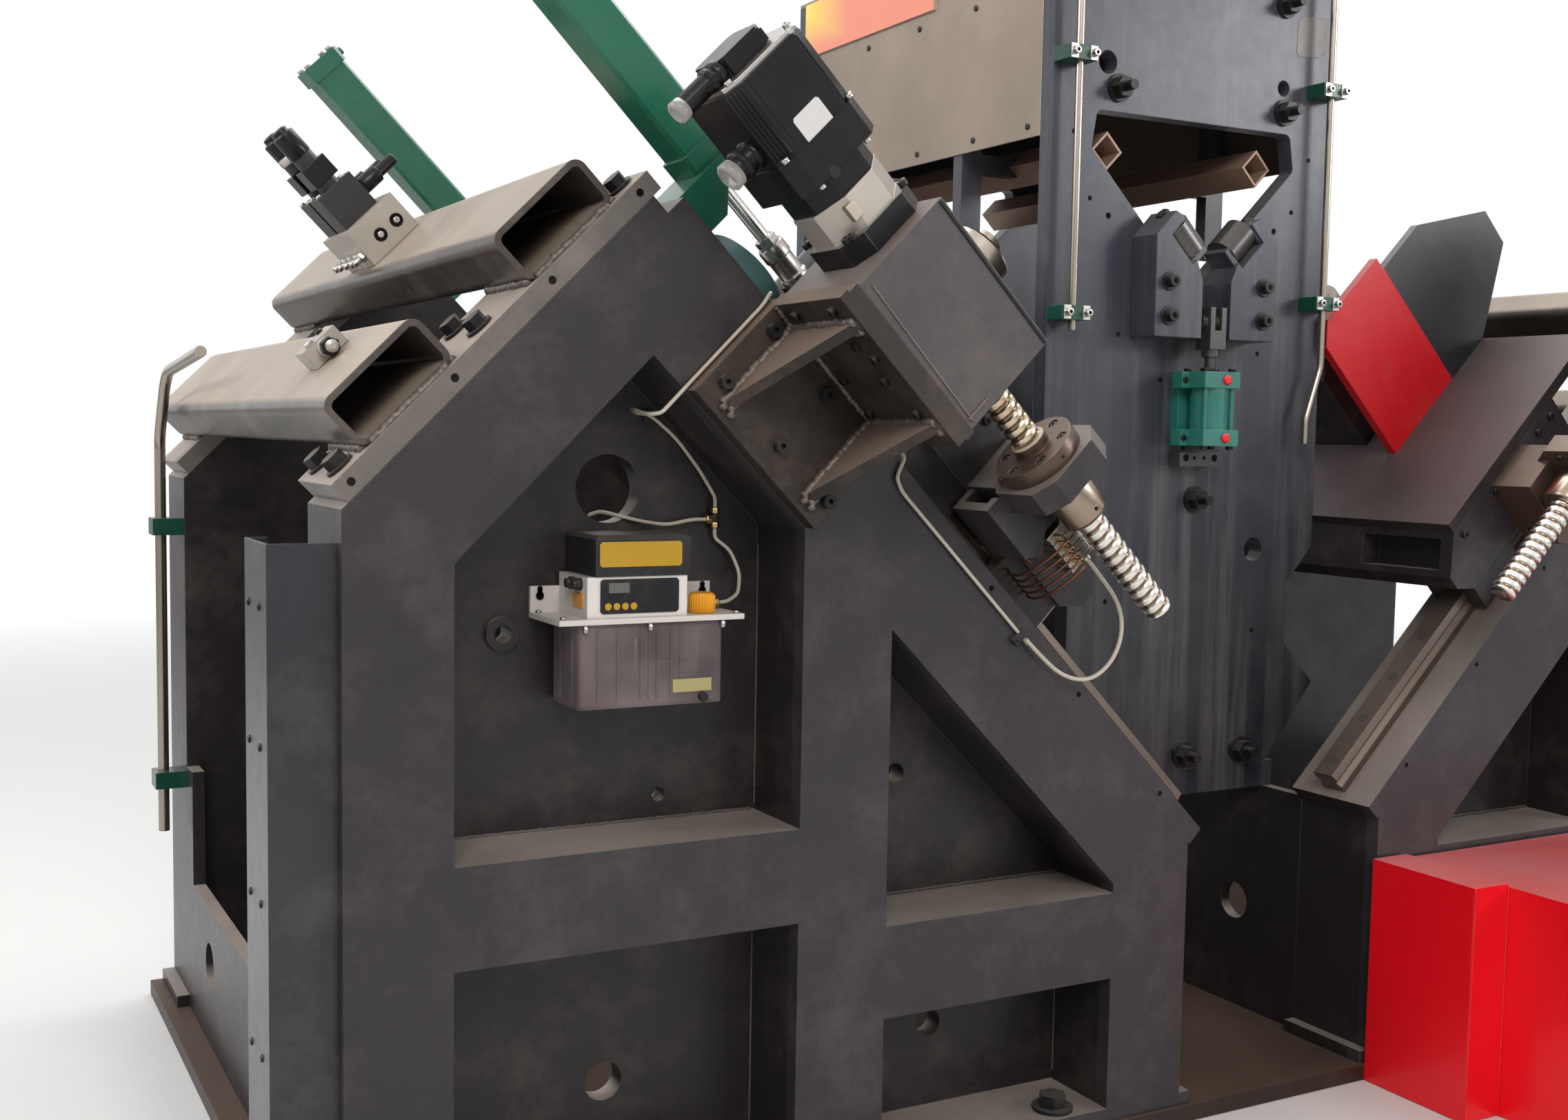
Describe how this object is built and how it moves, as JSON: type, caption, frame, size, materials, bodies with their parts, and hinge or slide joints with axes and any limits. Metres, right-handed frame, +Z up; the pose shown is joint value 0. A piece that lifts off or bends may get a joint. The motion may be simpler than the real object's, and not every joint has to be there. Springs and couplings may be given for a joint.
{
  "type": "cnc angle drilling line",
  "caption": "Angle-bar drilling station: mirrored 45 degree drilling units on a base plate, with a guide tower for the bar between them.",
  "frame": {"origin": "middle of the station between the two units, at the front faces of the unit frames, on the floor", "axes": "+X to the right across the station, +Y along the bar's feed to the rear, +Z up"},
  "size_m": [3.018, 1.676, 1.856],
  "materials": {
    "bare_steel": "machined steel",
    "base_steel": "dusty brown-grey plate",
    "black_bolts": "black oxide bolts",
    "channel_paint": "dark grey sheet",
    "chrome_rod": "hard chrome",
    "clamp_plastic": "green pipe clamp",
    "dark_paint": "satin dark grey paint over welded steel",
    "green_paint": "glossy green",
    "hose_white": "white nylon hose",
    "motor_black": "semi-gloss black",
    "pipe_steel": "plated pipe",
    "pump_black": "moulded",
    "pump_clear": "smoky clear plastic",
    "pump_orange": "moulded",
    "pump_white": "moulded",
    "red_paint": "glossy red",
    "screw_steel": "ground and greased",
    "sheet_steel": "bare sheet with handling marks",
    "teal_paint": "satin teal",
    "tower_paint": "satin blue-grey paint, dusty",
    "valve_alloy": "cast and machined"
  },
  "bodies": {
    "base": {"base_plate": "base_steel", "left_front_frame": "dark_paint", "right_front_frame": "dark_paint", "rear_frames": "dark_paint", "side_walls": "dark_paint", "frame_bolts": "black_bolts", "guide_beds": "dark_paint", "guide_rails": "bare_steel", "tube_pads": "dark_paint", "cross_tubes": "dark_paint", "gearboxes": "bare_steel", "screw_bearings": "bare_steel", "balance_cylinders": "green_paint", "bed_end_cover": "teal_paint", "cover_channel": "channel_paint", "valve_blocks": "valve_alloy", "pipes": "pipe_steel", "pipe_clamps": "clamp_plastic", "red_cabinets": "red_paint", "left_screw_bracket": "dark_paint", "right_screw_bracket": "dark_paint", "left_bearing_box": "dark_paint", "right_bearing_box": "dark_paint", "left_servo_motor": "motor_black", "right_servo_motor": "motor_black", "tower_plate": "tower_paint", "tower_frame": "tower_paint", "tower_sheets": "sheet_steel", "guide_bars": "bare_steel", "oil_lines": "pump_white", "roller_brackets": "dark_paint", "clamp_cylinder": "green_paint", "pump_tank": "pump_clear", "pump_lid": "pump_white", "pump_head": "pump_black"},
    "left_carriage": {"left_carriage": "dark_paint", "left_top_plate": "dark_paint", "left_balance_rods": "chrome_rod", "left_drill_head": "dark_paint", "left_drill_motor": "motor_black", "left_nut_housing": "dark_paint", "left_ball_nut": "bare_steel", "left_distributor": "valve_alloy", "grease_hose": "hose_white"},
    "right_carriage": {"right_carriage": "dark_paint", "right_top_plate": "dark_paint", "right_drill_head": "dark_paint", "right_drill_motor": "motor_black", "right_nut_housing": "dark_paint", "right_guards": "motor_black"},
    "left_screw": {"left_ball_screw": "screw_steel"},
    "right_screw": {"right_ball_screw": "screw_steel"},
    "left_quill": {"left_quill": "chrome_rod"},
    "right_quill": {"right_quill": "chrome_rod"},
    "left_spindle": {"left_spindle": "bare_steel"},
    "right_spindle": {"right_spindle": "bare_steel"},
    "left_roller": {"left_roller": "chrome_rod"},
    "right_roller": {"right_roller": "chrome_rod"},
    "clamp_rod": {"clamp_rod": "chrome_rod"},
    "pump_cap": {"pump_cap": "pump_orange"}
  },
  "joints": [
    {"name": "left_slide", "type": "slide", "parent": "base", "child": "left_carriage", "axis": [0.7071, 0, -0.7071], "range_m": [-0.11, 0.16]},
    {"name": "left_screw_turn", "type": "hinge", "parent": "base", "child": "left_screw", "pos_m": [-0.4879, -0.09, 0.92631], "axis": [0.7071, 0, -0.7071], "range_deg": [-3610, 2480]},
    {"name": "left_quill_feed", "type": "slide", "parent": "left_carriage", "child": "left_quill", "axis": [0.7071, 0, 0.7071], "range_m": [0, 0.15]},
    {"name": "left_spindle_turn", "type": "hinge", "parent": "left_quill", "child": "left_spindle", "pos_m": [-0.39881, 0.4, 1.24734], "axis": [0.7071, 0, 0.7071], "continuous": true},
    {"name": "left_roller_turn", "type": "hinge", "parent": "base", "child": "left_roller", "pos_m": [-0.0545, 0.227, 1.344], "axis": [-0.7071, 0, 0.7071], "continuous": true},
    {"name": "right_slide", "type": "slide", "parent": "base", "child": "right_carriage", "axis": [-0.7071, 0, -0.7071], "range_m": [-0.11, 0.16]},
    {"name": "right_screw_turn", "type": "hinge", "parent": "base", "child": "right_screw", "pos_m": [0.4879, -0.09, 0.92631], "axis": [-0.7071, 0, -0.7071], "range_deg": [-3610, 2480]},
    {"name": "right_quill_feed", "type": "slide", "parent": "right_carriage", "child": "right_quill", "axis": [-0.7071, 0, 0.7071], "range_m": [0, 0.15]},
    {"name": "right_spindle_turn", "type": "hinge", "parent": "right_quill", "child": "right_spindle", "pos_m": [0.39881, 0.4, 1.24734], "axis": [-0.7071, 0, 0.7071], "continuous": true},
    {"name": "right_roller_turn", "type": "hinge", "parent": "base", "child": "right_roller", "pos_m": [0.0545, 0.227, 1.344], "axis": [0.7071, 0, 0.7071], "continuous": true},
    {"name": "clamp_stroke", "type": "slide", "parent": "base", "child": "clamp_rod", "axis": [0, 0, 1], "range_m": [0, 0.03]},
    {"name": "pump_cap_turn", "type": "hinge", "parent": "base", "child": "pump_cap", "pos_m": [-0.981, 0.052, 0.8], "axis": [0, 0, 1], "range_deg": [0, 90]}
  ],
  "couplings": [
    {"joint": "left_screw_turn", "follows": "left_slide", "rad_per_m": -392.7},
    {"joint": "right_screw_turn", "follows": "right_slide", "rad_per_m": -392.7}
  ]
}
